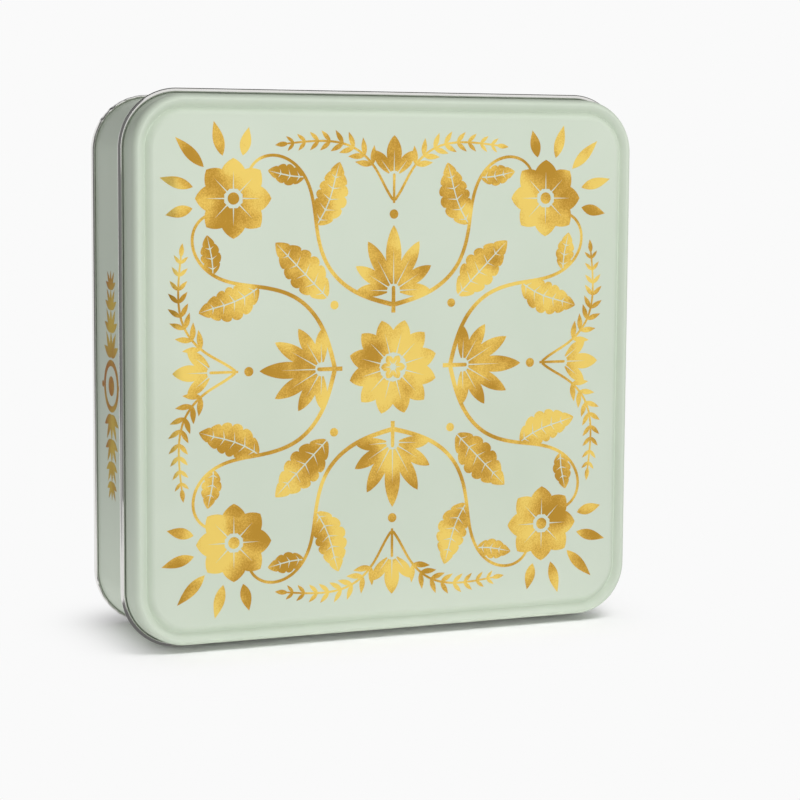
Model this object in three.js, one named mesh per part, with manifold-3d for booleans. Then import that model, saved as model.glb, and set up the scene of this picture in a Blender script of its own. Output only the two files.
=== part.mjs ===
// A square stationery tin made of tinplate, in three pressed and folded pieces: a slip lid with a
// rolled edge, a body wrapped from one strip and closed by a lock seam, and a bottom plate held by
// a double seam. The tin stands on one side: X is its width, Z its height and Y its depth, with
// the lid facing -Y. Lengths are in millimetres.

import * as THREE from 'three';
import { mergeVertices } from 'three/addons/utils/BufferGeometryUtils.js';
import Module from 'manifold-3d';

// Overall sizes
const tinWidth = 176; // over the lid's rolled edge, across and up
const tinDepth = 47; // from the lid's panel to the end of the bottom seam

// Lid
const lidGauge = 0.23;
const lidDepth = 11; // from the panel to the end of the rolled edge
const lidCornerRadius = 17.5; // of the skirt, at its mouth
const lidCurlRadius = 0.9; // outside of the rolled edge
const skirtDraft = 0.3; // how much the skirt draws in, from mouth to shoulder
const shoulderWidth = 1.9; // of the quarter ellipse between skirt and face
const shoulderDepth = 3.6;
const channelInset = 4.4; // from the mouth of the skirt to the middle of the pressed channel
const channelWidth = 5.2;
const channelDepth = 1.7;

// Body
const bodyGauge = 0.23;
const bodyCornerRadius = 17.5;
const lidClearance = 0.3; // between the body and the narrowest part of the lid's skirt
const rimCurlRadius = 0.8; // outside of the edge rolled into the mouth
const rimSeatShare = 2 / 3; // depth of the roll's middle, as a share of the shoulder's
const seamSlit = 0.3; // between the strip's two ends, in the rim and in the bottom seam

// Lock seam, in the middle of the side that the tin stands on
const lockSeamWidth = 4.5; // between the two bends
const lockSeamPlay = 0.08; // between its four layers, and from the hooks' ends to the notches
const lockSeamJoggle = 1.4; // length over which the strip steps inwards
const lockSeamLap = 0.8; // of the folded ends on the plain strip
const lockSeamMargin = 1.2; // from its ends to the rim and to the bottom's panel

// Bottom plate and double seam
const bottomGauge = 0.23;
const seamHeight = 3;
const seamPlay = 0.08; // between the seam's layers
const countersink = 3.6; // from the end of the seam to the panel
const panelCornerRadius = 0.8; // between the panel and the wall of the countersink
const stepInset = 7; // from the wall of the countersink to the panel's step
const stepWidth = 2;
const stepHeight = 0.6;

// Fineness
const cornerSteps = 9;
const shoulderSteps = 8;
const channelSteps = 5; // on each side of its middle
const curlSteps = 13;
const bendSteps = 4;
const stepSteps = 4;

const QUARTER = Math.PI / 2;
const HALF = Math.PI;
const CURL_SWEEP = THREE.MathUtils.degToRad(292.5); // of both rolled edges, short of the wall

// Half widths of the outlines that the sections are measured from, both outside faces
const lidHalf = tinWidth / 2 - 2 * lidCurlRadius + lidGauge;
const bodyHalf = lidHalf - skirtDraft - lidGauge - lidClearance;

// Layers of the double seam, as offsets from the outside of the body's wall
const bodyFoldRadius = seamPlay + bottomGauge / 2; // inside of the body's bend
const seamEndRadius = bodyFoldRadius + bodyGauge + seamPlay + bottomGauge;
const seamEndCentre = tinDepth - seamEndRadius;
const seamThickness = 3 * seamPlay + 2 * bottomGauge + bodyGauge;
const hookBendRadius = (seamThickness - seamPlay) / 2; // outside of the plate's inner bend
const hookBendOffset = seamPlay + hookBendRadius;
const hookBendCentre = tinDepth - seamHeight + hookBendRadius;
const bottomPanelDepth = tinDepth - countersink; // of the panel's outer face
const rimTop = rimSeatShare * shoulderDepth - rimCurlRadius;

const wasm = await Module();
wasm.setup();

// Points on an arc in the section plane, as [offset, depth], from one angle to another.
// Angle 0 points outwards and a quarter turn points to the front.
function arc(offset, depth, radius, from, to, steps) {
  return Array.from({ length: steps + 1 }, (_, step) => {
    const angle = THREE.MathUtils.lerp(from, to, step / steps);
    return [offset + radius * Math.cos(angle), depth - radius * Math.sin(angle)];
  });
}

// Drops points that repeat the one before
function withoutRepeats(line) {
  const same = (a, b) => Math.hypot(a[0] - b[0], a[1] - b[1]) < Number.EPSILON * tinWidth;
  return line.filter((point, index) => index === 0 || !same(point, line[index - 1]));
}

// The parallel of an open line: to the left of its direction of travel, as seen with the offset
// to the right and the depth upwards, or to the right of it where the distance is negative
function parallel(line, distance) {
  const unit = (a, b) => {
    const length = Math.hypot(b[0] - a[0], b[1] - a[1]);
    return [(b[0] - a[0]) / length, (b[1] - a[1]) / length];
  };
  return line.map((point, index) => {
    const ahead = unit(line[Math.min(index, line.length - 2)], line[Math.min(index + 1, line.length - 1)]);
    const behind = unit(line[Math.max(index - 1, 0)], line[Math.max(index, 1)]);
    const sum = [ahead[0] + behind[0], ahead[1] + behind[1]];
    const reach = (2 * distance) / (sum[0] * sum[0] + sum[1] * sum[1]);
    return [point[0] - sum[1] * reach, point[1] + sum[0] * reach];
  });
}

// The section of a sheet, as a loop: one face, and the other face on its way back, on the side
// that the sign of the gauge tells as it does for a parallel
function sheetSection(face, gauge) {
  const line = withoutRepeats(face);
  return [...line, ...parallel(line, gauge).reverse()];
}

// A square outline with round corners, grown by an offset, as [x, z] from the middle of its
// lower side. With a gap, its ends stay apart there.
function outline(half, cornerRadius, offset, gap = 0) {
  const centre = half - cornerRadius;
  const points = [];
  for (let corner = 0; corner < 4; corner += 1) {
    for (let step = 0; step <= cornerSteps; step += 1) {
      const angle = -QUARTER + QUARTER * (corner + step / cornerSteps);
      const side = (turn) => Math.sign(Math.cos(-QUARTER / 2 + QUARTER * corner - turn));
      points.push([
        side(0) * centre + (cornerRadius + offset) * Math.cos(angle),
        side(QUARTER) * centre + (cornerRadius + offset) * Math.sin(angle),
      ]);
    }
  }
  if (gap > 0) {
    points.unshift([gap / 2, -half - offset]);
    points.push([-gap / 2, -half - offset]);
  }
  return points;
}

// Turns a solid's faces outwards where they point inwards
function facingOut(positions, triangles) {
  const corner = (index) => new THREE.Vector3().fromArray(positions, 3 * index);
  let volume = 0;
  for (let first = 0; first < triangles.length; first += 3) {
    const [a, b, c] = [0, 1, 2].map((next) => corner(triangles[first + next]));
    volume += a.dot(b.cross(c));
  }
  if (volume < 0) triangles.reverse();
  const geometry = new THREE.BufferGeometry();
  geometry.setAttribute('position', new THREE.Float32BufferAttribute(positions, 3));
  geometry.setIndex(triangles);
  return geometry;
}

// Faces between neighbouring rings of points with the same count
function bandsBetween(ringCount, ringLength, closedRing, closedLoft) {
  const triangles = [];
  for (let ring = 0; ring < (closedLoft ? ringCount : ringCount - 1); ring += 1) {
    for (let place = 0; place < (closedRing ? ringLength : ringLength - 1); place += 1) {
      const here = ring * ringLength;
      const next = ((ring + 1) % ringCount) * ringLength;
      const after = (place + 1) % ringLength;
      triangles.push(here + place, next + place, next + after);
      triangles.push(here + place, next + after, here + after);
    }
  }
  return triangles;
}

// A pressed sheet that closes in the middle: its section goes round the outline, and a flat face
// fills each end
function pressedSheet(section, half, cornerRadius) {
  const rings = section.map(([offset, depth]) =>
    outline(half, cornerRadius, offset).map(([x, z]) => [x, depth, z]));
  const ringLength = rings[0].length;
  const triangles = bandsBetween(rings.length, ringLength, true, false);
  const positions = rings.flat();
  const last = (rings.length - 1) * ringLength;
  const middles = [[0, section[0][1], 0], [0, section[section.length - 1][1], 0]];
  for (let place = 0; place < ringLength; place += 1) {
    const after = (place + 1) % ringLength;
    triangles.push(positions.length, place, after);
    triangles.push(positions.length + 1, last + after, last + place);
  }
  return facingOut([...positions, ...middles].flat(), triangles);
}

// A strip wrapped round the outline, with its two ends apart
function wrappedStrip(section, half, cornerRadius, gap) {
  const shape = section.map(([offset, depth]) => new THREE.Vector2(offset, depth));
  if (THREE.ShapeUtils.isClockWise(shape)) shape.reverse();
  const lines = shape.map(({ x: offset, y: depth }) =>
    outline(half, cornerRadius, offset, gap).map(([x, z]) => [x, depth, z]));
  const length = lines[0].length;
  const triangles = bandsBetween(lines.length, length, false, true);
  for (const [a, b, c] of THREE.ShapeUtils.triangulateShape(shape, [])) {
    triangles.push(a * length, c * length, b * length);
    triangles.push(a * length + length - 1, b * length + length - 1, c * length + length - 1);
  }
  return facingOut(lines.flat(2), triangles);
}

function solidFrom(geometry) {
  const bare = geometry.clone();
  bare.deleteAttribute('normal');
  bare.deleteAttribute('uv');
  const merged = mergeVertices(bare);
  const triVerts = new Uint32Array(merged.index.array);
  const vertProperties = new Float32Array(merged.attributes.position.array);
  return new wasm.Manifold(new wasm.Mesh({ numProp: 3, vertProperties, triVerts }));
}

function geometryFrom(solid) {
  const mesh = solid.getMesh();
  const geometry = new THREE.BufferGeometry();
  geometry.setAttribute('position', new THREE.BufferAttribute(mesh.vertProperties, 3));
  geometry.setIndex(new THREE.BufferAttribute(mesh.triVerts, 1));
  return geometry;
}

// Lid: panel, pressed channel, shoulder, skirt and an edge rolled outwards. Both sides of the channel
// round over and fall to a crease. The line is the outer face, from the panel to the raw edge.
function lidGeometry() {
  const channel = (offset) => {
    const share = Math.abs(offset + channelInset) / (channelWidth / 2);
    return channelDepth * Math.max(1 - share, 0) ** 2;
  };
  const shoulderEnd = -skirtDraft - shoulderWidth;
  const panelEdge = -channelInset - channelWidth / 2;
  const stretch = (from, to) => Array.from({ length: channelSteps }, (_, step) =>
    [THREE.MathUtils.lerp(from, to, step / channelSteps), 0]);
  const flat = [...stretch(panelEdge, -channelInset), ...stretch(-channelInset, shoulderEnd)];
  const shoulder = Array.from({ length: shoulderSteps + 1 }, (_, step) => {
    const angle = QUARTER * (1 - step / shoulderSteps);
    return [
      shoulderEnd + shoulderWidth * Math.cos(angle),
      shoulderDepth - shoulderDepth * Math.sin(angle),
    ];
  });
  const pressed = [...flat, ...shoulder].map(([offset, depth]) => [offset, depth + channel(offset)]);
  const curl = arc(lidCurlRadius - lidGauge, lidDepth - lidCurlRadius, lidCurlRadius - lidGauge,
    HALF, HALF + CURL_SWEEP, curlSteps);
  return pressedSheet(sheetSection([...pressed, ...curl], lidGauge), lidHalf, lidCornerRadius);
}

// Body: an edge rolled into the mouth, the wall, and a hook bent outwards at the bottom. The line
// is the wall's outer face, from the rolled edge to the end of the hook.
function bodyStripGeometry() {
  const rim = arc(-rimCurlRadius, rimTop + rimCurlRadius, rimCurlRadius, CURL_SWEEP, 0, curlSteps);
  const bend = arc(bodyFoldRadius, seamEndCentre, bodyFoldRadius, HALF, 2 * HALF, bendSteps);
  const hookEnd = [2 * bodyFoldRadius, hookBendCentre];
  const section = sheetSection([...rim, ...bend, hookEnd], bodyGauge);
  return wrappedStrip(section, bodyHalf, bodyCornerRadius, seamSlit);
}

// A ribbon of sheet seen from its edge, pulled out along the tin's depth. Its line runs along the
// lower side as [x, distance inwards from the outside of the wall].
function ribbonGeometry(line, from, to) {
  const middle = withoutRepeats(line);
  const rim = [...parallel(middle, bodyGauge / 2), ...parallel(middle, -bodyGauge / 2).reverse()];
  const shape = new THREE.Shape(rim.map(([x, inwards]) => new THREE.Vector2(x, inwards)));
  const ribbon = new THREE.ExtrudeGeometry(shape, { depth: to - from, bevelEnabled: false });
  ribbon.rotateX(QUARTER);
  ribbon.translate(0, to, -bodyHalf);
  return ribbon;
}

// Body with its lock seam: each end of the strip is bent back on itself, and the two hooks hold
// each other inside the wall, one of them after a step inwards
function bodyGeometry() {
  const layer = bodyGauge + lockSeamPlay;
  const level = (count) => bodyGauge / 2 + count * layer;
  const bendPlace = lockSeamWidth / 2;
  const joggleEnd = -bendPlace - layer - bodyGauge / 2 - lockSeamPlay;
  const joggleStart = joggleEnd - lockSeamJoggle;
  const from = rimTop + 2 * rimCurlRadius + lockSeamMargin;
  const to = bottomPanelDepth - bottomGauge - stepHeight - lockSeamMargin;

  const outerHook = [
    [bendPlace + layer + lockSeamLap, level(0)],
    ...arc(-bendPlace, level(1), layer, QUARTER, 3 * QUARTER, 2 * bendSteps),
    [bendPlace, level(2)],
  ];
  const joggle = Array.from({ length: 2 * bendSteps + 1 }, (_, step) => {
    const share = step / (2 * bendSteps);
    const rise = (1 - Math.cos(HALF * share)) / 2;
    return [THREE.MathUtils.lerp(joggleStart, joggleEnd, share), level(3 * rise)];
  });
  const innerHook = [
    [joggleStart - lockSeamLap, level(0)],
    ...joggle,
    ...arc(bendPlace, level(2), layer, -QUARTER, QUARTER, 2 * bendSteps),
    [-bendPlace, level(1)],
  ];

  const windowStart = joggleStart - lockSeamLap / 2;
  const windowEnd = bendPlace + layer + lockSeamLap / 2;
  const opening = new THREE.BoxGeometry(windowEnd - windowStart, to - from, 2 * rimCurlRadius);
  opening.translate((windowStart + windowEnd) / 2, (from + to) / 2, -bodyHalf);

  const strip = solidFrom(bodyStripGeometry()).subtract(solidFrom(opening));
  const hooks = [outerHook, innerHook].map((line) =>
    solidFrom(ribbonGeometry(line, from + lockSeamPlay, to - lockSeamPlay)));
  return geometryFrom(strip.add(hooks[0]).add(hooks[1]));
}

// Bottom plate: a panel with a shallow step, sunk below the seam, and an edge rolled round the
// body's hook and up inside it. The line is its outer face, from the panel to the raw edge.
function bottomGeometry() {
  const wallOffset = -bodyGauge - seamPlay - bottomGauge;
  const step = Array.from({ length: 2 * stepSteps + 1 }, (_, index) => {
    const share = index / (2 * stepSteps);
    const fall = (1 + Math.cos(HALF * share)) / 2;
    return [wallOffset - stepInset + stepWidth * (share - 1 / 2), bottomPanelDepth - stepHeight * fall];
  });
  const foot = arc(wallOffset - panelCornerRadius, bottomPanelDepth + panelCornerRadius,
    panelCornerRadius, QUARTER, 0, bendSteps);
  const seamEnd = arc(bodyFoldRadius, seamEndCentre, seamEndRadius, HALF, 2 * HALF, 2 * bendSteps);
  const hookBend = arc(hookBendOffset, hookBendCentre, hookBendRadius, 0, HALF, 2 * bendSteps);
  const hookEnd = [seamPlay, seamEndCentre];
  const face = [...step, ...foot, ...seamEnd, ...hookBend, hookEnd];
  return pressedSheet(sheetSection(face, -bottomGauge), bodyHalf, bodyCornerRadius);
}

function piece(name, geometry, colour, roughness, metalness) {
  const material = new THREE.MeshStandardMaterial({ color: colour, roughness, metalness });
  const mesh = new THREE.Mesh(geometry, material);
  mesh.name = name;
  return mesh;
}

const tin = new THREE.Group();
tin.add(piece('lid', lidGeometry(), 0xd0dac9, 0.35, 0.1));
tin.add(piece('body_wall', bodyGeometry(), 0xb4c0b0, 0.35, 0.1));
tin.add(piece('bottom_plate', bottomGeometry(), 0xc4c6c8, 0.3, 1));
tin.position.set(0, -tinDepth / 2, tinWidth / 2);

export default tin;
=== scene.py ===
import math

import bpy
import numpy as np
from mathutils import Matrix, Vector
from mathutils.geometry import delaunay_2d_cdt


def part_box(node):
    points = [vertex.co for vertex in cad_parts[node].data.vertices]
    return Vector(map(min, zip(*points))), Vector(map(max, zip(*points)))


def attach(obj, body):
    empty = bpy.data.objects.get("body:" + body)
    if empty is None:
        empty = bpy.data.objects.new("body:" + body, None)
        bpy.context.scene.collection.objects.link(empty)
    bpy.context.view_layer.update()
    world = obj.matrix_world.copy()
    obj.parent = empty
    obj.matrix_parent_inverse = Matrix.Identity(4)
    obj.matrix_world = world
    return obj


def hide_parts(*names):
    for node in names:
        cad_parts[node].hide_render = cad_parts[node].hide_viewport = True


# A square stationery tin of printed tinplate: a slip lid with a rolled edge, a body wrapped from one
# strip and a bottom plate held by a double seam. It stands on one side with its lid towards -Y.
# Lengths are in metres, and a depth is measured from the lid's panel towards the bottom plate.

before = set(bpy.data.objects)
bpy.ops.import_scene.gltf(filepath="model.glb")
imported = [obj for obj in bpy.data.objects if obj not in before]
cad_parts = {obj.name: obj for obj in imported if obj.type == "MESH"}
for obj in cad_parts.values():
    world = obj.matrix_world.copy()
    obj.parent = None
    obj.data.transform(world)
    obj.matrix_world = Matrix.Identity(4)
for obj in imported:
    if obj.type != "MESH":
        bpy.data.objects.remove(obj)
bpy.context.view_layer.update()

MM = 0.001
QUARTER = math.pi / 2  # of a turn
PRINTED, BARE = 0, 1  # sides of a sheet, as numbers of its materials

# Sheet and lid
GAUGE = 0.23 * MM
SAME_POINT = GAUGE / 1000
LID_CORNER = 17.5 * MM
LID_CURL = 0.9 * MM
CURL_SWEEP = math.radians(292.5)
SKIRT_DRAFT = 0.3 * MM
SHOULDER_WIDTH = 1.9 * MM
SHOULDER_DEPTH = 3.6 * MM
CHANNEL_INSET = 4.4 * MM
CHANNEL_WIDTH = 5.2 * MM
CHANNEL_DEPTH = 1.7 * MM
CHANNEL_CREASE = 0.3 * MM
FOIL = 0.02 * MM

# Body and its lock seam
BODY_CORNER = 17.5 * MM
LID_CLEARANCE = 0.3 * MM
RIM_CURL = 0.8 * MM
RIM_SEAT_SHARE = 2 / 3
SLIT = 0.3 * MM
LOCK_WIDTH = 4.5 * MM
LOCK_PLAY = 0.08 * MM
LOCK_JOGGLE = 1.4 * MM
LOCK_LAP = 0.8 * MM
LOCK_MARGIN = 1.2 * MM

# Bottom plate and double seam
SEAM_HEIGHT = 3 * MM
SEAM_PLAY = 0.08 * MM
COUNTERSINK = 3.6 * MM
PUCKER = 0.09 * MM
PUCKERS = 7
FINE_PUCKERS = 11.9
FINE_PUCKER_SHARE = 0.5
FINE_PUCKER_LAG = 1  # in radians
FOOT_RADIUS = 0.8 * MM
STEP_INSET = 7 * MM
STEP_WIDTH = 2 * MM
STEP_HEIGHT = 0.6 * MM

# Foil ornament. It is drawn in millimetres, and so are its veins
VEIN_WIDTH = 0.42
MIDRIB_WIDTH = 0.4
VEIN_REACH_SHARE = 0.62
VEIN_ROOT_SHARE, VEIN_TIP_SHARE = 0.42, 0.12  # of a lobe, back from its end
PRINT_SHIFT = 6 * MM

# Fineness
SIDE_STEPS = 36
CORNER_STEPS = 40
SEAM_CORNER_STEPS = 72
PANEL_RINGS = 6
FACE_STEPS = 48
SHOULDER_STEPS = 24
CURL_STEPS = 36
PRINTED_CURL_STEPS = 4  # of the body's rim, next to its wall
BEND_STEPS = 12
WALL_STEPS = 13
SHARP_EDGE = math.radians(50)

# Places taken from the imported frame
lid_low, lid_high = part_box("lid")
FRONT = lid_low.y
MIDDLE_Z = (lid_low.z + lid_high.z) / 2
TIN_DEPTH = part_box("bottom_plate")[1].y - FRONT
LID_DEPTH = lid_high.y - FRONT
LID_HALF = (lid_high.x - lid_low.x) / 2 - 2 * LID_CURL + GAUGE
BODY_HALF = LID_HALF - SKIRT_DRAFT - GAUGE - LID_CLEARANCE
RIM_TOP = RIM_SEAT_SHARE * SHOULDER_DEPTH - RIM_CURL
PANEL_DEPTH = TIN_DEPTH - COUNTERSINK

# Layers of the double seam
FOLD_RADIUS = SEAM_PLAY + GAUGE / 2
SEAM_END_RADIUS = FOLD_RADIUS + GAUGE + SEAM_PLAY + GAUGE
SEAM_END_CENTRE = TIN_DEPTH - SEAM_END_RADIUS
SEAM_THICKNESS = 3 * SEAM_PLAY + 3 * GAUGE
HOOK_RADIUS = (SEAM_THICKNESS - SEAM_PLAY) / 2
HOOK_OFFSET = SEAM_PLAY + HOOK_RADIUS
HOOK_CENTRE = TIN_DEPTH - SEAM_HEIGHT + HOOK_RADIUS


# Sections are rows of [offset from the outline, depth]

def arc(offset, depth, radius, start, end, steps):
    angles = np.linspace(start, end, steps + 1)
    return np.stack([offset + radius * np.cos(angles), depth - radius * np.sin(angles)], 1)


def joined(*lines):
    """One line from several, without the points that repeat the one before."""
    points = np.concatenate([np.asarray(line, float).reshape(-1, 2) for line in lines])
    steps = np.linalg.norm(np.diff(points, axis=0), axis=1)
    return points[np.concatenate([[True], steps > SAME_POINT])]


# Outlines are places round the tin, each with its outward direction, as seen from the lid

def outline(half, corner, stops=None, corner_steps=CORNER_STEPS):
    """A square with round corners, anticlockwise from its lower right corner. Stops are places along the
    lower side, as (right, left). With them it is open there, and runs from the first right stop to the
    last left one."""
    hubs = (half - corner) * np.array([[1, -1], [1, 1], [-1, 1], [-1, -1]])
    turn = np.linspace(0, 1, corner_steps + 1)
    corners = []
    for quarter, hub in enumerate(hubs):
        angles = QUARTER * (quarter - 1 + turn)
        out = np.stack([np.cos(angles), np.sin(angles)], 1)
        corners.append((hub + corner * out, out))
    share = np.linspace(0, 1, SIDE_STEPS + 1)[1:-1, None]
    runs = []
    for quarter, (places, out) in enumerate(corners):
        runs.append((places, out))
        after = corners[(quarter + 1) % 4][0][0]
        if quarter < 3 or stops is None:
            runs.append((places[-1] + (after - places[-1]) * share, np.repeat(out[-1:], len(share), 0)))
    if stops is not None:
        right, left = (np.array([[x, -half] for x in side]) for side in stops)
        right = np.concatenate([right, right[-1] + (corners[0][0][0] - right[-1]) * share])
        left = np.concatenate([corners[3][0][-1] + (left[0] - corners[3][0][-1]) * share, left])
        down = np.array([[0.0, -1.0]])
        runs.insert(0, (right, np.repeat(down, len(right), 0)))
        runs.append((left, np.repeat(down, len(left), 0)))
    places = np.concatenate([run[0] for run in runs])
    directions = np.concatenate([run[1] for run in runs])
    return places, directions


def round_corner(places, half, corner):
    """How far each place has come round its corner: 0 to 1, and 0 along the sides."""
    inside = np.clip((np.abs(places) - (half - corner)) / corner, 0, 1)
    return np.arctan2(*inside.T[::-1]) / QUARTER * (inside.min(1) > 0)


class Sheet:
    """A sheet of metal: the face seen from outside as a grid of quads, given its thickness at the end."""

    def __init__(self):
        self.points = np.zeros((0, 3))
        self.faces = []
        self.kinds = []

    def add(self, points):
        """Adds a grid of points and gives their numbers in the same shape."""
        first = len(self.points)
        self.points = np.concatenate([self.points, points.reshape(-1, 3)])
        return np.arange(first, len(self.points)).reshape(points.shape[:-1])

    def loft(self, outlines, section, shift=None):
        """Adds the section's rows round the outline, and gives their numbers, row by row."""
        places, directions = outlines
        offset, depth = (np.repeat(column[:, None], len(places), 1) for column in section.T)
        if shift is not None:
            more_offset, more_depth = shift(offset, depth, places)
            offset, depth = offset + more_offset, depth + more_depth
        flat = places[None] + directions[None] * offset[..., None]
        return self.add(np.stack([flat[..., 0], FRONT + depth, MIDDLE_Z + flat[..., 1]], -1))

    def quads(self, grid, kind=0, closed=False):
        """Faces between a grid's rows. kind is a material's number, or one for each band between rows."""
        kinds = np.broadcast_to(kind, len(grid) - 1)
        around = np.concatenate([grid, grid[:, :1]], 1) if closed else grid
        for row in range(len(grid) - 1):
            for place in range(around.shape[1] - 1):
                self.faces.append((around[row, place], around[row + 1, place],
                                   around[row + 1, place + 1], around[row, place + 1]))
                self.kinds.append(kinds[row])

    def close(self, ring, depth, kind=0):
        """Fills a ring with smaller rings and a point in the middle, at one depth."""
        middle = np.array([0.0, FRONT + depth, MIDDLE_Z])
        start = self.points[ring]
        shares = np.linspace(1, 0, PANEL_RINGS + 1)[1:-1]
        rings = [self.add(middle + (start - middle) * share) for share in shares]
        self.quads(np.array([*rings[::-1], ring]), kind, closed=True)
        hub = self.add(middle[None])[0]
        inner = rings[-1]
        for here, after in zip(inner, np.roll(inner, -1)):
            self.faces.append((hub, here, after))
            self.kinds.append(kind)

    def solid(self, name, materials, inner_kind=0):
        """The object, with the sheet's gauge behind the face. Its back and edges have inner_kind. Points
        that no face uses are dropped."""
        used = np.unique([place for face in self.faces for place in face])
        number = np.zeros(len(self.points), int)
        number[used] = np.arange(len(used))
        self.points = self.points[used]
        self.faces = [tuple(number[list(face)]) for face in self.faces]
        corners = [self.points[list(face)] for face in self.faces]
        facing = [np.cross(c[2] - c[0], c[-1] - c[1]) for c in corners]
        normals = np.zeros_like(self.points)
        for face, normal in zip(self.faces, facing):
            normals[list(face)] += normal / np.linalg.norm(normal)
        normals /= np.linalg.norm(normals, axis=1)[:, None]
        count = len(self.points)
        points = np.concatenate([self.points, self.points - normals * GAUGE])
        faces = [*self.faces, *[tuple(n + count for n in reversed(face)) for face in self.faces]]
        kinds = [*self.kinds, *[inner_kind] * len(self.faces)]
        edges = {}
        for face in self.faces:
            for a, b in zip(face, (*face[1:], face[0])):
                edges[(a, b)] = True
        for a, b in edges:
            if (b, a) not in edges:
                faces.append((b, a, a + count, b + count))
                kinds.append(inner_kind)
        return mesh_object(name, points, faces, materials, kinds)


def mesh_object(name, points, faces, materials, kinds=None):
    """A smooth mesh object that keeps its sharp edges."""
    mesh = bpy.data.meshes.new(name)
    mesh.from_pydata([tuple(p) for p in points], [], [tuple(int(n) for n in face) for face in faces])
    for material in materials:
        mesh.materials.append(material)
    if kinds is not None:
        mesh.polygons.foreach_set("material_index", np.array(kinds, np.int32))
    mesh.polygons.foreach_set("use_smooth", np.ones(len(mesh.polygons), bool))
    mesh.set_sharp_from_angle(angle=SHARP_EDGE)
    mesh.validate()
    made = bpy.data.objects.new(name, mesh)
    bpy.context.scene.collection.objects.link(made)
    weights = made.modifiers.new("flat_faces_first", "WEIGHTED_NORMAL")
    weights.keep_sharp = True
    return made


def panel_line(offset, depth):
    """The lid's face. Both sides of its pressed channel round over and fall to a soft crease, and within
    it the panel lies back by the foil's thickness."""
    half = CHANNEL_WIDTH / 2
    away = np.hypot(offset + CHANNEL_INSET, CHANNEL_CREASE) - CHANNEL_CREASE
    reach = math.hypot(half, CHANNEL_CREASE) - CHANNEL_CREASE
    channel = CHANNEL_DEPTH * np.clip(1 - away / reach, 0, 1) ** 2
    back = np.where(offset < -CHANNEL_INSET, FOIL, 0)
    return np.stack([offset, depth + channel + back], 1)


def make_lid(materials):
    """The lid in one sheet: panel, channel, shoulder, skirt and an edge rolled outwards."""
    panel_edge = -CHANNEL_INSET - CHANNEL_WIDTH / 2
    shoulder_end = -SKIRT_DRAFT - SHOULDER_WIDTH
    flat = np.linspace(panel_edge, shoulder_end, FACE_STEPS + 1)
    angles = np.linspace(QUARTER, 0, SHOULDER_STEPS + 1)
    face = panel_line(np.concatenate([flat[:-1], shoulder_end + SHOULDER_WIDTH * np.cos(angles)]),
                      np.concatenate([flat[:-1] * 0, SHOULDER_DEPTH * (1 - np.sin(angles))]))
    radius = LID_CURL - GAUGE
    curl = arc(radius, LID_DEPTH - LID_CURL, radius, 2 * QUARTER, 2 * QUARTER + CURL_SWEEP, CURL_STEPS)
    skirt = np.array([face[-1], curl[0]])
    lid = Sheet()
    rows = lid.loft(outline(LID_HALF, LID_CORNER), joined(face, skirt, curl))
    lid.quads(rows, PRINTED, closed=True)
    lid.close(rows[0], FOIL, PRINTED)
    return lid.solid("lid_shell", materials, BARE)


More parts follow.
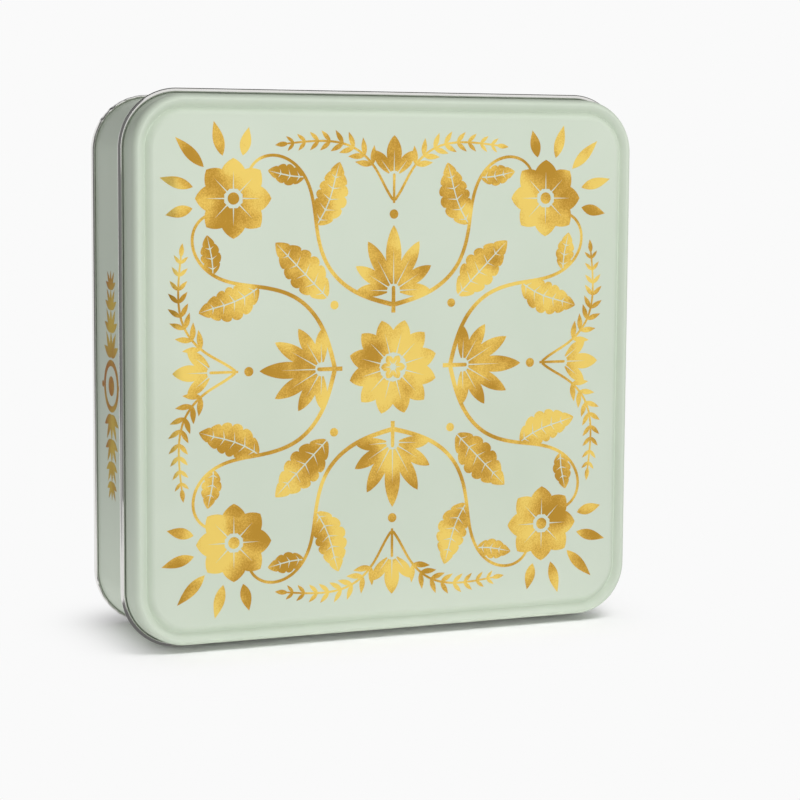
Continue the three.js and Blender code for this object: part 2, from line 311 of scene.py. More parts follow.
def make_body(materials):
    """The wall. Between its seams it has a window for the lock seam, which two hooks fill."""
    layer = GAUGE + LOCK_PLAY
    bend = LOCK_WIDTH / 2
    joggle_end = -bend - layer - GAUGE / 2 - LOCK_PLAY
    joggle_start = joggle_end - LOCK_JOGGLE
    window = (joggle_start - LOCK_LAP / 2, bend + layer + LOCK_LAP / 2)
    stops = ([SLIT / 2, window[1]], [window[0], -SLIT / 2])
    wall_start = RIM_TOP + RIM_CURL
    lock_from = RIM_TOP + 2 * RIM_CURL + LOCK_MARGIN
    lock_to = PANEL_DEPTH - GAUGE - STEP_HEIGHT - LOCK_MARGIN

    curl = arc(-RIM_CURL, wall_start, RIM_CURL, CURL_SWEEP, 0, CURL_STEPS)
    levels = [lock_from, lock_from + LOCK_PLAY]
    levels += list(np.linspace(levels[-1], lock_to - LOCK_PLAY, WALL_STEPS + 1)[1:]) + [lock_to]
    wall = np.stack([np.zeros(len(levels)), levels], 1)
    fold = arc(FOLD_RADIUS, SEAM_END_CENTRE, FOLD_RADIUS, 2 * QUARTER, 4 * QUARTER, BEND_STEPS)
    section = joined(curl, wall, fold, [[2 * FOLD_RADIUS, HOOK_CENTRE]])
    first = len(curl)
    inside = np.arange(first, first + len(levels) - 1)

    body = Sheet()
    columns = outline(BODY_HALF, BODY_CORNER, stops)
    rows = body.loft(columns, section)
    kinds = np.where(np.arange(len(section) - 1) < CURL_STEPS - PRINTED_CURL_STEPS, BARE, PRINTED)
    body.quads(rows[:, 1:-1], kinds)
    for side in (rows[:, :2], rows[:, -2:]):
        body.quads(side[:first + 1], kinds[:first])
        body.quads(side[inside[-1] + 1:], kinds[inside[-1] + 1:])

    def hook(line, column, before):
        """A hook of the lock seam from its line of [x, distance inwards], hung on a column of the wall."""
        part = rows[first + 1:inside[-1] + 1]
        depths = section[first + 1:inside[-1] + 1, 1]
        x, inwards = (np.repeat(value[None], len(depths), 0) for value in np.asarray(line).T)
        y = np.repeat(FRONT + depths[:, None], len(line), 1)
        grid = body.add(np.stack([x, y, MIDDLE_Z - BODY_HALF + inwards], -1))
        edge = part[:, column:column + 1]
        body.quads(np.concatenate([grid[:, ::-1], edge] if before else [edge, grid], 1), BARE)

    top = 2 * layer + GAUGE
    turn = np.linspace(QUARTER, 3 * QUARTER, 2 * BEND_STEPS + 1)
    radius = layer + GAUGE / 2
    outer = np.stack([-bend + radius * np.cos(turn), radius - radius * np.sin(turn)], 1)
    hook([*outer, [bend, top]], 1, True)
    share = np.linspace(0, 1, 2 * BEND_STEPS + 1)
    rise = 3 * layer * (1 - np.cos(2 * QUARTER * share)) / 2
    joggle = np.stack([joggle_start + (joggle_end - joggle_start) * share, rise], 1)
    turn = np.linspace(QUARTER, -QUARTER, 2 * BEND_STEPS + 1)
    radius = layer - GAUGE / 2
    centre = 2 * layer + GAUGE / 2
    inner = np.stack([bend + radius * np.cos(turn), centre + radius * np.sin(turn)], 1)
    hook([*joggle, *inner, [-bend, layer + GAUGE]], -2, False)
    return body.solid("body_shell", materials, BARE)


def puckers(offset, depth, places):
    """Rolling the seam gathers the sheet at the corners, and leaves its hook slightly wavy there."""
    share = round_corner(places, BODY_HALF, BODY_CORNER)
    coarse = np.sin(4 * QUARTER * PUCKERS * share)
    fine = np.sin(4 * QUARTER * FINE_PUCKERS * share + FINE_PUCKER_LAG)
    wave = np.sin(2 * QUARTER * share) * (coarse + FINE_PUCKER_SHARE * fine)
    down_hook = np.clip((SEAM_END_CENTRE - depth) / (SEAM_END_CENTRE - HOOK_CENTRE), 0, 1)
    height = PUCKER * wave * down_hook * (offset > HOOK_OFFSET)
    return height, -height


def make_bottom(materials):
    """The plate, sunk inside the wall, and its edge rolled round the body's hook."""
    wall = -GAUGE - SEAM_PLAY - GAUGE
    share = np.linspace(0, 1, 2 * BEND_STEPS + 1)
    step = np.stack([wall - STEP_INSET + STEP_WIDTH * (share - 1 / 2),
                     PANEL_DEPTH - STEP_HEIGHT * (1 + np.cos(2 * QUARTER * share)) / 2], 1)
    foot = arc(wall - FOOT_RADIUS, PANEL_DEPTH + FOOT_RADIUS, FOOT_RADIUS, QUARTER, 0, BEND_STEPS)
    end = arc(FOLD_RADIUS, SEAM_END_CENTRE, SEAM_END_RADIUS, 2 * QUARTER, 4 * QUARTER, 2 * BEND_STEPS)
    bend = arc(HOOK_OFFSET, HOOK_CENTRE, HOOK_RADIUS, 0, 2 * QUARTER, 2 * BEND_STEPS)
    bottom = Sheet()
    section = joined(step, foot, end, bend, [[SEAM_PLAY, SEAM_END_CENTRE]])
    columns = outline(BODY_HALF, BODY_CORNER, corner_steps=SEAM_CORNER_STEPS)
    rows = bottom.loft([column[::-1] for column in columns], section, puckers)
    bottom.quads(rows, closed=True)
    bottom.close(rows[0], section[0][1])
    return bottom.solid("bottom_shell", materials)


# Ornament, drawn flat in millimetres. Angles are in degrees, anticlockwise from the right

DRAWING_MERGE = 1e-5
STEM_END_STEPS = 6
DISC_STEPS = 24
LOBE_DEPTH = 0.22
LOBE_LEAN = 0.27
LOWER_HALF_SHARE = 0.86  # of the upper half leaf's width
SIDE_PETAL_LOSS = 0.25
LAUREL_LEAN = 43
LAUREL_TAPER = 0.55
HUSK_STEP = 8


def swept(start, heading, length, curls, steps=60):
    """A path that sets out at a heading and bends by the listed curvatures in turn."""
    bend = np.interp((np.arange(steps) + 0.5) / steps, np.linspace(0, 1, len(curls)), curls)
    turn = math.radians(heading) + np.concatenate([[0], np.cumsum(bend * length / steps)])
    middle = (turn[1:] + turn[:-1]) / 2
    moves = np.stack([np.cos(middle), np.sin(middle)], 1) * length / steps
    return np.concatenate([[start], start + np.cumsum(moves, 0)])


def ahead_and_side(path):
    ahead = np.gradient(path, axis=0)
    ahead /= np.linalg.norm(ahead, axis=1)[:, None]
    return ahead, np.stack([-ahead[:, 1], ahead[:, 0]], 1)


def place_on(path, share):
    index = int(round(share * (len(path) - 1)))
    ahead = ahead_and_side(path)[0][index]
    return path[index], math.degrees(math.atan2(ahead[1], ahead[0]))


def stroke(path, widths):
    """A stem with a round end."""
    ahead, side = ahead_and_side(path)
    half = np.interp(np.linspace(0, 1, len(path)), np.linspace(0, 1, len(widths)), widths)[:, None] / 2
    sweep = np.linspace(0, 2 * QUARTER, STEM_END_STEPS + 1)[1:-1, None]
    end = path[-1] + half[-1] * (np.cos(sweep) * side[-1] + np.sin(sweep) * ahead[-1])
    return np.concatenate([path + side * half, end, (path - side * half)[::-1]])


def disc(place, radius):
    angle = np.linspace(0, 4 * QUARTER, DISC_STEPS, endpoint=False)
    return place + radius * np.stack([np.cos(angle), np.sin(angle)], 1)


def almond(place, heading, length, width):
    """A plain narrow leaf with two pointed ends."""
    path = swept(place, heading, length, [0, 0], 12)
    half = width / 2 * np.sin(2 * QUARTER * np.linspace(0, 1, len(path)) ** 0.85)[:, None]
    side = ahead_and_side(path)[1]
    return np.concatenate([path + side * half, (path - side * half)[-2:0:-1]])


def half_leaf(path, width, lobes):
    """Out along the lobed edge and back along the midrib, where slots stay open for the veins."""
    share = np.linspace(0, 1, len(path))[:, None]
    ahead, side = ahead_and_side(path)
    swell = np.sin(2 * QUARTER * share ** 0.8) ** 0.75
    dip = (1 - np.sin(2 * QUARTER * (share * lobes % 1)) ** 0.5) * np.sin(2 * QUARTER * share) ** 0.3
    edge = path + width * swell * (side * (1 - LOBE_DEPTH * dip) + ahead * LOBE_LEAN * (1 - share))
    rib = path + side * MIDRIB_WIDTH / 2 * np.clip(4 * (1 - share), 0, 1)
    back = [rib[-2]]
    for lobe in range(lobes - 1, 0, -1):
        root = round((lobe - VEIN_ROOT_SHARE) / lobes * (len(path) - 1))
        tip = round((lobe - VEIN_TIP_SHARE) / lobes * (len(path) - 1))
        half = ahead[root] * VEIN_WIDTH / 2
        vein_end = rib[root] + (edge[tip] - rib[root]) * VEIN_REACH_SHARE
        back += [rib[root] + half, vein_end, rib[root] - half]
    return np.concatenate([edge[1:-1], path[-1:], back, rib[1:2]])


def leaf(place, heading, length, curls, width, lobes):
    path = swept(place, heading, length, curls)
    other = half_leaf(path * (1, -1), width * LOWER_HALF_SHARE, lobes) * (1, -1)
    return [half_leaf(path, width, lobes), other]


def petal(place, heading, start, end, width):
    """A petal with a slot open along its middle."""
    share = np.linspace(0, 1, 15)
    half = width / 2 * np.sin(2 * QUARTER * (0.14 + 0.86 * share) ** 1.25).clip(0) ** 0.8
    along = start + (end - start) * share
    vein_end = start + (end - start) * VEIN_REACH_SHARE
    slot = [[start, -VEIN_WIDTH / 2], [vein_end, 0], [start, VEIN_WIDTH / 2]]
    shape = np.concatenate([np.stack([along, half], 1), np.stack([along, -half], 1)[-2::-1], slot])
    cosine, sine = math.cos(math.radians(heading)), math.sin(math.radians(heading))
    return place + shape @ np.array([[cosine, sine], [-sine, cosine]])


def rosette(place, petals, start, end, width, turn):
    return [petal(place, turn + 360 * index / petals, start, end, width) for index in range(petals)]


def palmette(place, heading, petals, spread, longest, shortest, width):
    """A fan of petals, the longest and widest in its middle."""
    shares = np.linspace(-1, 1, petals)
    return [petal(place, heading + share * spread / 2, 2.2, longest + (shortest - longest) * abs(share),
                  width * (1 - SIDE_PETAL_LOSS * abs(share))) for share in shares]


def laurel(path, first, last, pairs, length, width):
    """Pairs of narrow leaves along a stem, shorter towards its end."""
    shapes = []
    for share, size in zip(np.linspace(first, last, pairs), np.linspace(1, LAUREL_TAPER, pairs)):
        place, heading = place_on(path, share)
        for lean in (LAUREL_LEAN, -LAUREL_LEAN):
            shapes.append(almond(place, heading + lean, length * size, width * size))
    return shapes


def lid_ornament():
    """A rosette within four palmettes, scrolls that roll round four flowers, and sprays at the edges."""
    middle = rosette((0, 0), 12, 4.6, 15.5, 6.6, 15) + rosette((0, 0), 6, 1, 4.2, 2.6, 0)

    scroll = swept((0.6, 20.2), 14, 79, [0, 0.035, 0.05, 0.01, -0.05, -0.09, -0.15], 120)
    eighths = [stroke(scroll, [1.5, 1.3, 1.2, 1, 0.9])]
    place, heading = place_on(scroll, 0.5)
    eighths += leaf(place, heading + 46, 21.5, [-0.035, -0.03, 0.04], 5.8, 6)
    place, heading = place_on(scroll, 0.7)
    eighths += leaf(place, heading - 62, 12.5, [0.05, 0.03, -0.03], 3.6, 4)
    spray = swept((0.3, 53.5), 50, 44, [0.06, -0.04, -0.06, -0.02, 0.0], 90)
    eighths += [stroke(spray, [0.9, 0.8, 0.7, 0.6])] + laurel(spray, 0.3, 0.96, 8, 6.2, 2)
    eighths.append(almond(*place_on(spray, 1), 4.5, 1.6))

    axes = palmette((0, 24.5), 90, 7, 176, 21, 12.5, 5.4)
    axes += palmette((0, 60.5), 90, 3, 76, 13.5, 11, 5.2)
    axes += [stroke(swept((0, 17.5), 90, 8, [0, 0]), [1.4, 1.2]), disc((0, 49), 1.5),
             stroke(swept((0, 52.5), 90, 9, [0, 0]), [0.8, 0.9])]

    diagonals = leaf((22.5, 22.5), 45, 25, [0, 0], 6.6, 6)
    flower, ray_start = (54, 54), 13.6
    diagonals += rosette(flower, 8, 3, 12.5, 8, 45) + [disc(flower, 1.9), disc((20.3, 20.3), 1.4)]
    for turn, length in ((0, 13), (30, 11), (-30, 11), (58, 9), (-58, 9)):
        heading = math.radians(45 + turn)
        start = (flower[0] + ray_start * math.cos(heading), flower[1] + ray_start * math.sin(heading))
        diagonals.append(almond(start, 45 + turn, length, 3.6))

    shapes = list(middle)
    for sign in ((1, 1), (-1, 1), (1, -1), (-1, -1)):
        shapes += [shape * sign for shape in diagonals]
        shapes += [shape * sign for eighth in eighths for shape in (eighth, eighth[:, ::-1])]
    for sign in (1, -1):
        shapes += [shape * (1, sign) for shape in axes] + [shape[:, ::-1] * (sign, 1) for shape in axes]
    return shapes


def wall_ornament():
    """A ring round a boss, and above and below it a string of husks that gets smaller."""
    shapes = [stroke(swept((7.4 * sign, 0), 90 * sign, 23.3, [0.135, 0.135]), [2, 2]) for sign in (1, -1)]
    shapes += [disc((0, 0), 3.2)] + [disc((9.6 * sign, 0), 1.1) for sign in (1, -1)]
    at = 9.2
    for size in (1, 0.9, 0.8, 0.7):
        husk = [almond((0, at), 90 + lean, length * size, 2.7 * size)
                for lean, length in ((0, 8.6), (34, 9.8), (-34, 9.8), (66, 8.6), (-66, 8.6))]
        shapes += husk + [shape * (-1, -1) for shape in husk]
        at += HUSK_STEP * size
    return shapes


def swept_area(shape):
    """Twice the area within an outline, below zero if it runs clockwise."""
    x, y = shape.T
    return np.dot(x, np.roll(y, -1)) - np.dot(y, np.roll(x, -1))


def foil_object(name, shapes, places, material):
    """Thin closed plates in the joined outline of flat shapes, one set of them for each place: a middle
    with the directions of the drawing's right and up and of the face. Each plate stands a foil's
    thickness off the middle and goes half of that into the sheet."""
    shapes = [shape if swept_area(shape) > 0 else shape[::-1] for shape in shapes]
    drawn = [tuple(point) for shape in shapes for point in shape]
    ends = np.cumsum([0] + [len(shape) for shape in shapes])
    loops = [list(range(start, end)) for start, end in zip(ends[:-1], ends[1:])]
    flat, _, triangles, _, _, sources = delaunay_2d_cdt(drawn, [], loops, 0, DRAWING_MERGE)
    inside = [triangle for triangle, source in zip(triangles, sources) if source]
    used = sorted({index for triangle in inside for index in triangle})
    number = {index: place for place, index in enumerate(used)}
    plan = np.array([flat[index] for index in used]) * MM
    inside = [[number[index] for index in triangle] for triangle in inside]
    edges = {(a, b) for face in inside for a, b in zip(face, face[1:] + face[:1])}
    count = len(plan)
    points, faces = [], []
    for middle, right, up, out in places:
        base = 2 * count * len(points)
        spread = np.array(middle) + plan[:, :1] * right + plan[:, 1:] * up
        points.append(np.concatenate([spread + FOIL * np.array(out), spread - FOIL / 2 * np.array(out)]))
        faces += [[base + index for index in face] for face in inside]
        faces += [[base + count + index for index in face[::-1]] for face in inside]
        faces += [[base + b, base + a, base + count + a, base + count + b] for a, b in edges
                  if (b, a) not in edges]
    return mesh_object(name, np.concatenate(points), faces, [material])


# Materials. Colours are written as on screen, 0 to 255

SAGE_INK = ((207, 218, 201), (211, 221, 205))
BARE_TIN = ((224, 223, 220), (231, 230, 227))
GOLD = ((186, 142, 54), (204, 160, 70), (226, 186, 88), (240, 209, 110))
# Painted shade: a darker copy of the gold for the foil on the side walls, standing in for the shade it
# takes there, not a different foil.
SHADED_GOLD = ((150, 112, 40), (163, 138, 54), (171, 156, 70), (186, 178, 94))
GOLD_GLANCE = (214, 160, 76)
GOLD_STOPS = (0.5, 0.58, 0.66, 0.76)
GOLD_GRAIN_SHARE = 0.3


def node_material(name):
    material = bpy.data.materials.new(name)
    material.use_nodes = True
    return material, material.node_tree.nodes, material.node_tree.links


def linear(red, green, blue):
    """A screen colour as Blender's linear values."""
    shares = np.array([red, green, blue]) / 255
    return (*np.where(shares < 0.04045, shares / 12.92, ((shares + 0.055) / 1.055) ** 2.4), 1)


def fill(node, values):
    """Sets a node's own inputs, by their names."""
    for name, value in values.items():
        node.inputs[name].default_value = value


def add_noise(nodes, links, place, scale, detail, roughness=0.5, stretch=(1, 1, 1)):
    mapping = nodes.new("ShaderNodeMapping")
    fill(mapping, {"Scale": stretch})
    links.new(place, mapping.inputs["Vector"])
    noise = nodes.new("ShaderNodeTexNoise")
    fill(noise, {"Scale": scale, "Detail": detail, "Roughness": roughness})
    links.new(mapping.outputs[0], noise.inputs["Vector"])
    return noise.outputs["Fac"]


def add_range(nodes, links, value, low, high, start=0.3, end=0.7):
    spread = nodes.new("ShaderNodeMapRange")
    fill(spread, {"From Min": start, "From Max": end, "To Min": low, "To Max": high})
    links.new(value, spread.inputs["Value"])
    return spread.outputs["Result"]


def add_bump(nodes, links, height, distance, under=None):
    bump = nodes.new("ShaderNodeBump")
    fill(bump, {"Distance": distance, "Strength": 1})
    links.new(height, bump.inputs["Height"])
    if under is not None:
        links.new(under, bump.inputs["Normal"])
    return bump.outputs["Normal"]


def add_ramp(nodes, links, value, colours, stops=(0.3, 0.7)):
    ramp = nodes.new("ShaderNodeValToRGB")
    elements = ramp.color_ramp.elements
    while len(elements) < len(stops):
        elements.new(0.5)
    for element, stop, colour in zip(elements, stops, colours):
        element.position = stop
        element.color = linear(*colour)
    links.new(value, ramp.inputs["Fac"])
    return ramp.outputs["Color"]


def add_math(nodes, links, operation, *values):
    """One step of arithmetic on numbers and other nodes' outputs."""
    step = nodes.new("ShaderNodeMath")
    step.operation = operation
    for socket, value in zip(step.inputs, values):
        if isinstance(value, bpy.types.NodeSocket):
            links.new(value, socket)
        else:
            socket.default_value = value
    return step.outputs[0]


def printed_tinplate():
    """Pale sage ink under a satin varnish, with the sheet's faint unevenness."""
    material, nodes, links = node_material("printed_tinplate")
    place = nodes.new("ShaderNodeTexCoord").outputs["Object"]
    shader = nodes["Principled BSDF"]
    cloud = add_noise(nodes, links, place, scale=26, detail=3)
    links.new(add_ramp(nodes, links, cloud, SAGE_INK), shader.inputs["Base Color"])
    fine = add_noise(nodes, links, place, scale=900, detail=3)
    links.new(add_range(nodes, links, fine, low=0.3, high=0.36), shader.inputs["Roughness"])
    wide = add_noise(nodes, links, place, scale=34, detail=1)
    slow = add_bump(nodes, links, wide, distance=0.12 * MM)
    links.new(add_bump(nodes, links, fine, distance=0.004 * MM, under=slow), shader.inputs["Normal"])
    fill(shader, {"Specular IOR Level": 0, "Coat Weight": 0.35, "Coat Roughness": 0.2})
    return material


def bare_tinplate():
    """Tinned steel with the fine grain that rolling leaves across the sheet."""
    material, nodes, links = node_material("bare_tinplate")
    place = nodes.new("ShaderNodeTexCoord").outputs["Object"]
    shader = nodes["Principled BSDF"]
    grain = add_noise(nodes, links, place, scale=1800, detail=2, stretch=(1, 1, 0.04))
    cloud = add_noise(nodes, links, place, scale=90, detail=4, stretch=(1, 1, 0.25))
    links.new(add_ramp(nodes, links, cloud, BARE_TIN), shader.inputs["Base Color"])
    links.new(add_range(nodes, links, grain, low=0.12, high=0.2), shader.inputs["Roughness"])
    links.new(add_bump(nodes, links, grain, distance=0.004 * MM), shader.inputs["Normal"])
    fill(shader, {"Metallic": 1})
    return material


def gold_foil(name, colours):
    """Brushed-looking gold foil: dark to bright patches, partly the foil's own uneven tone and partly
    painted reflection, that break up into grain where they meet.
    """
    material, nodes, links = node_material(name)
    place = nodes.new("ShaderNodeTexCoord").outputs["Object"]
    shader = nodes["Principled BSDF"]
    # Partly painted reflection: these patches also stand in for the light and dark that the foil would
    # mirror.
    tone_and_reflection_patch = add_noise(nodes, links, place, scale=75, detail=2, roughness=0.4)
    grain = add_noise(nodes, links, place, scale=2200, detail=2, roughness=0.6)
    mixed = add_math(nodes, links, "MULTIPLY_ADD", grain, GOLD_GRAIN_SHARE, tone_and_reflection_patch)
    links.new(add_ramp(nodes, links, mixed, colours, GOLD_STOPS), shader.inputs["Base Color"])
    links.new(add_range(nodes, links, grain, low=0.3, high=0.42), shader.inputs["Roughness"])
    wide = add_noise(nodes, links, place, scale=160, detail=2)
    wave = add_bump(nodes, links, wide, distance=0.2 * MM)
    links.new(add_bump(nodes, links, grain, distance=0.006 * MM, under=wave), shader.inputs["Normal"])
    fill(shader, {"Metallic": 0.65, "Specular Tint": linear(*GOLD_GLANCE)})
    return material


# Stage, light and camera

CAMERA_PLACE = Vector((-0.2812, -0.6883, 0.1551))
CAMERA_YAW, CAMERA_PITCH, CAMERA_ROLL = (math.radians(angle) for angle in (23.11, 6.15, 0.38))
FOCAL_PIXELS = 2255
FRAME_PIXELS = 800
SENSOR = 36  # in millimetres
NEAREST, FARTHEST = 0.01, 50


def make_camera():
    data = bpy.data.cameras.new("camera")
    data.sensor_width = SENSOR
    data.sensor_fit = "HORIZONTAL"
    data.lens = FOCAL_PIXELS / FRAME_PIXELS * SENSOR
    data.clip_start, data.clip_end = NEAREST, FARTHEST
    ahead = Vector((math.sin(CAMERA_YAW) * math.cos(CAMERA_PITCH),
                    math.cos(CAMERA_YAW) * math.cos(CAMERA_PITCH), -math.sin(CAMERA_PITCH)))
    level = Vector((math.cos(CAMERA_YAW), -math.sin(CAMERA_YAW), 0))
    over = level.cross(ahead)
    right = level * math.cos(CAMERA_ROLL) + over * math.sin(CAMERA_ROLL)
    up = over * math.cos(CAMERA_ROLL) - level * math.sin(CAMERA_ROLL)
    turn = Matrix((right, up, -ahead)).transposed().to_4x4()
    camera = bpy.data.objects.new("camera", data)
    camera.matrix_world = Matrix.Translation(CAMERA_PLACE) @ turn
    bpy.context.scene.collection.objects.link(camera)
    bpy.context.scene.camera = camera


FLOOR_REACH = 6.0
FLOOR_GAP = 0.01 * MM
FLOOR_COLOUR = (0.9, 0.9, 0.9, 1)
WHITE = (1, 1, 1, 1)
PAPER_WHITE = 0.956
FAR_LIGHT = 0.7  # of PAPER_WHITE, as a dull surface gets it
WORLD_LIGHT = 0.1  # as a dull surface gets it
FOOT = (0.068, 0.018, 9)  # half sizes of the patch of plain paper, which no height ends; beyond it the floor's painted light begins
SHADOW_REACH = 0.02
SHADOW_EDGE = 2.3  # a power: a higher one brings in the painted light, and so ends the shadow, more sharply
LID_FOOT = Vector((0, FRONT + LID_DEPTH - LID_CURL, lid_low.z))
SEAM_FOOT = Vector((0, FRONT + HOOK_CENTRE, MIDDLE_Z - BODY_HALF - HOOK_OFFSET - HOOK_RADIUS))


def seen_rays(nodes, links):
    """1 for what the camera, a mirror or a glass sees, and 0 for light on its way to a dull surface."""
    path = nodes.new("ShaderNodeLightPath")
    total = path.outputs["Is Camera Ray"]
    for ray in ("Is Glossy Ray", "Is Transmission Ray"):
        total = add_math(nodes, links, "MAXIMUM", total, path.outputs[ray])
    return total


def make_floor():
    """The tin rests on its lid's edge and its bottom seam, so the floor lies along both. Under the tin it
    is plain paper that takes the shadow. A little way off the paper glows with painted light, which grows
    with the distance from the tin and so ends its shadow, up to the white behind it."""
    slope = (SEAM_FOOT.z - LID_FOOT.z) / (SEAM_FOOT.y - LID_FOOT.y)
    corners = [(x, y, LID_FOOT.z + slope * (y - LID_FOOT.y) - FLOOR_GAP)
               for x, y in ((-FLOOR_REACH, -FLOOR_REACH), (FLOOR_REACH, -FLOOR_REACH),
                            (FLOOR_REACH, FLOOR_REACH), (-FLOOR_REACH, FLOOR_REACH))]
    material, nodes, links = node_material("floor_paper")
    paper = nodes["Principled BSDF"]
    fill(paper, {"Base Color": FLOOR_COLOUR, "Roughness": 0.9, "Specular IOR Level": 0})
    place = nodes.new("ShaderNodeTexCoord").outputs["Object"]
    for operation, value in (("ABSOLUTE", None), ("SUBTRACT", FOOT), ("MAXIMUM", (0, 0, 0))):
        step = nodes.new("ShaderNodeVectorMath")
        step.operation = operation
        if value is not None:
            step.inputs[1].default_value = value
        links.new(place, step.inputs[0])
        place = step.outputs["Vector"]
    away = nodes.new("ShaderNodeVectorMath")
    away.operation = "LENGTH"
    links.new(place, away.inputs[0])
    # Painted light: the farther from the tin's foot, the more the floor glows, which ends the tin's shadow
    # a set way off.
    painted_light_share = add_math(nodes, links, "DIVIDE", away.outputs["Value"], SHADOW_REACH)
    painted_light_share = add_math(nodes, links, "POWER", painted_light_share, SHADOW_EDGE)
    painted_light_share = add_math(nodes, links, "MULTIPLY", painted_light_share, -1)
    painted_light_share = add_math(nodes, links, "EXPONENT", painted_light_share)
    painted_light_share = add_math(nodes, links, "SUBTRACT", 1, painted_light_share)
    dim = add_range(nodes, links, painted_light_share, PAPER_WHITE, PAPER_WHITE * FAR_LIGHT, start=0, end=1)
    strength = nodes.new("ShaderNodeMix")
    fill(strength, {"B": PAPER_WHITE})
    links.new(seen_rays(nodes, links), strength.inputs["Factor"])
    links.new(dim, strength.inputs["A"])
    lit = nodes.new("ShaderNodeEmission")
    fill(lit, {"Color": WHITE})
    links.new(strength.outputs["Result"], lit.inputs["Strength"])
    mix = nodes.new("ShaderNodeMixShader")
    links.new(painted_light_share, mix.inputs["Fac"])
    links.new(paper.outputs[0], mix.inputs[1])
    links.new(lit.outputs[0], mix.inputs[2])
    links.new(mix.outputs[0], nodes["Material Output"].inputs["Surface"])
    floor = mesh_object("floor", corners, [(0, 1, 2, 3)], [material])
    return floor


def make_world():
    world = bpy.data.worlds.new("studio")
    bpy.context.scene.world = world
    world.use_nodes = True
    nodes, links = world.node_tree.nodes, world.node_tree.links
    light = nodes["Background"]
    fill(light, {"Color": WHITE, "Strength": WORLD_LIGHT})
    seen = nodes.new("ShaderNodeBackground")
    fill(seen, {"Color": WHITE, "Strength": PAPER_WHITE})
    mix = nodes.new("ShaderNodeMixShader")
    links.new(seen_rays(nodes, links), mix.inputs["Fac"])
    links.new(light.outputs[0], mix.inputs[1])
    links.new(seen.outputs[0], mix.inputs[2])
    links.new(mix.outputs[0], nodes["World Output"].inputs["Surface"])


# Lamps, and cards as a name, a strength and four corners

TIN_MIDDLE = Vector((0, 0, MIDDLE_Z))
LOW_LIGHT, LOW_TARGET = (-0.128, 0, 0.016), (0, 0, 0.016)
CARDS = (
    ("flag_left", 0.18, (-0.45, -0.9, -0.1), (-0.45, 0.45, -0.1), (-0.45, 0.45, 1.2), (-0.45, -0.9, 1.2)),
    ("glint", 8, (-0.72, -0.9, 0.8), (-0.48, -1.0, 0.8), (-0.48, -0.9, 1.0), (-0.72, -0.8, 1.0)),
    # The card under the lid's lower left corner lies on the floor: a painted reflection of the shade
    # there, for the rolled edge to mirror.
    ("flag_foot", 0.16, (-0.12, -0.075, -0.0015), (-0.058, -0.075, -0.0015), (-0.058, 0.01, 0.0015),
     (-0.12, 0.01, 0.0015)),
    ("flag_edge", 0.24, (-0.097, -0.029, 0.045), (-0.071, -0.029, 0.045), (-0.071, -0.029, 0.15),
     (-0.097, -0.029, 0.15)),
    ("flag_low", 0.45, (-0.28, -0.75, -0.02), (-0.28, 0.2, -0.02), (-0.28, 0.2, 0.045),
     (-0.28, -0.75, 0.045)),
    ("flag_front", 0.16, (-0.9, -1.3, -0.2), (-0.35, -1.3, -0.2), (-0.35, -1.3, 1.4), (-0.9, -1.3, 1.4)),
    ("flag_back", 0.05, (-1.5, 0.9, 0.44), (1.5, 0.9, 0.44), (1.5, 0.0, 1.4), (-1.5, 0.0, 1.4)),
)


def soft_box(name, place, target, size, power):
    data = bpy.data.lights.new(name, "AREA")
    data.shape = "RECTANGLE"
    data.size, data.size_y = size
    data.energy = power
    lamp = bpy.data.objects.new(name, data)
    lamp.location = place
    lamp.rotation_euler = (Vector(target) - Vector(place)).to_track_quat("-Z", "Y").to_euler()
    bpy.context.scene.collection.objects.link(lamp)
    return lamp


def make_flag(name, corners, strength):
    """A card that nothing shows but the metal and the varnish, which mirror it."""
    material, nodes, links = node_material(name)
    card = nodes.new("ShaderNodeEmission")
    fill(card, {"Strength": strength})
    links.new(card.outputs[0], nodes["Material Output"].inputs["Surface"])
    flag = mesh_object(name, corners, [(0, 1, 2, 3)], [material])
    flag.visible_camera = flag.visible_diffuse = flag.visible_shadow = flag.visible_transmission = False


def toward(azimuth, elevation, distance):
    """A place round the tin. Azimuth 0 is in front of the lid and 90 on its right."""
    turn, rise = math.radians(azimuth), math.radians(elevation)
    way = Vector((math.sin(turn) * math.cos(rise), -math.cos(turn) * math.cos(rise), math.sin(rise)))
    return TIN_MIDDLE + way * distance


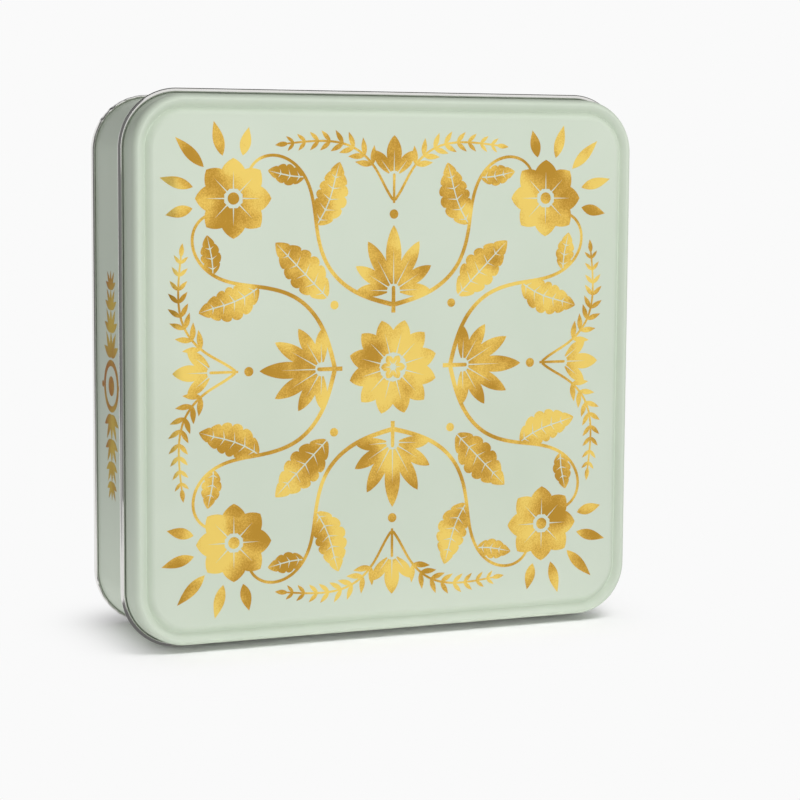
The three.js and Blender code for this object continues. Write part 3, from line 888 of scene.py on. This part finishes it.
def light_only(lamp, pieces):
    """The lamp lights these pieces and nothing else."""
    lit = bpy.data.collections.new("lit_by_" + lamp.name)
    for piece in pieces:
        lit.objects.link(piece)
    lamp.light_linking.receiver_collection = lit


bpy.context.scene.view_settings.view_transform = "Standard"
make_camera()
floor = make_floor()
make_world()
key = soft_box("key", toward(6, 8, 1.6), TIN_MIDDLE, size=(0.9, 0.8), power=11.2)
upper = soft_box("upper", toward(25, 62, 1), TIN_MIDDLE, size=(0.6, 0.5), power=4)
side = soft_box("side", toward(-65, 8, 1), TIN_MIDDLE, size=(0.5, 0.5), power=0.93)
low = soft_box("low", LOW_LIGHT, LOW_TARGET, size=(0.06, 0.01), power=0.0043)
low.visible_camera = False
for lamp in (key, upper, side, low):
    lamp.visible_glossy = False
overhead = soft_box("overhead", toward(0, 90, 1.6), TIN_MIDDLE, size=(2.0, 2.0), power=8.5)
light_only(overhead, [floor])
for name, strength, *corners in CARDS:
    make_flag(name, corners, strength)

sage, silver = printed_tinplate(), bare_tinplate()
gold, shaded_gold = gold_foil("gold_foil", GOLD), gold_foil("shaded_gold_foil", SHADED_GOLD)
lid = make_lid([sage, silver])
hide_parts("lid")
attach(lid, "lid")
body = make_body([sage, silver])
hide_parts("body_wall")
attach(body, "tin")
bottom = make_bottom([silver])
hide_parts("bottom_plate")
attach(bottom, "tin")

right, back, up = np.eye(3)
foil = foil_object("lid_foil", lid_ornament(), [((0, FRONT + FOIL, MIDDLE_Z), right, up, -back)], gold)
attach(foil, "lid")
light_only(low, [lid, body, foil])

wall_middle = FRONT + (LID_DEPTH + TIN_DEPTH - SEAM_HEIGHT) / 2
left_wall = ((-BODY_HALF, wall_middle, MIDDLE_Z - PRINT_SHIFT), -back, up, -right)
right_wall = ((BODY_HALF, wall_middle, MIDDLE_Z + PRINT_SHIFT), back, up, right)
top_wall = ((-PRINT_SHIFT, wall_middle, MIDDLE_Z + BODY_HALF), -back, right, up)
# The side walls take the darker gold, which is painted shade; the top wall keeps the bright one.
foil = foil_object("wall_foil", wall_ornament(), [left_wall, right_wall], shaded_gold)
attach(foil, "tin")
foil = foil_object("top_foil", wall_ornament(), [top_wall], gold)
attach(foil, "tin")
